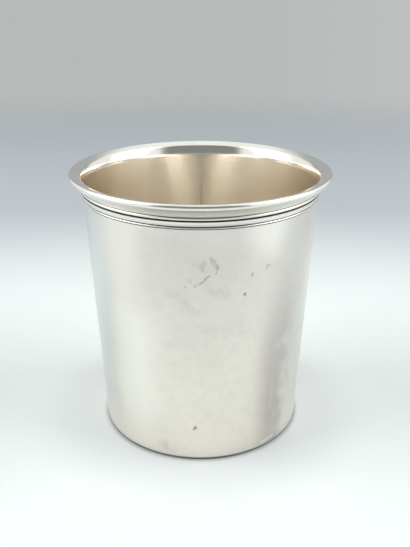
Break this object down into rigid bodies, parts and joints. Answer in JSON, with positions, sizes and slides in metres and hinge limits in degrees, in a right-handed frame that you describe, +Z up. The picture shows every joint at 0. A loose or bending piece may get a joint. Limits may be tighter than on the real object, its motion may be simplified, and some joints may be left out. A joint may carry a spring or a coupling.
{
  "type": "drinking beaker",
  "caption": "Flared sheet-silver beaker on a flat base, with an everted rolled lip and a reeded filet band under it, for drinking or as a small vase.",
  "frame": {"origin": "centre of the base's underside, on the table", "axes": "+Z up along the axis of the cup, +Y through the wall's soldered seam, -Y towards the viewer of the picture"},
  "size_m": [0.076, 0.076, 0.08],
  "materials": {
    "silver": "polished silver with fine handling scratches, darker in its grooves",
    "solder": "hard silver solder, filed and slightly duller than the sheet"
  },
  "bodies": {
    "root": {"body_wall": "silver", "side_seam": "solder", "base_disc": "silver", "base_solder": "solder", "lip_ring": "silver", "lip_solder": "solder", "filet_band": "silver", "band_solder": "solder"}
  },
  "joints": []
}
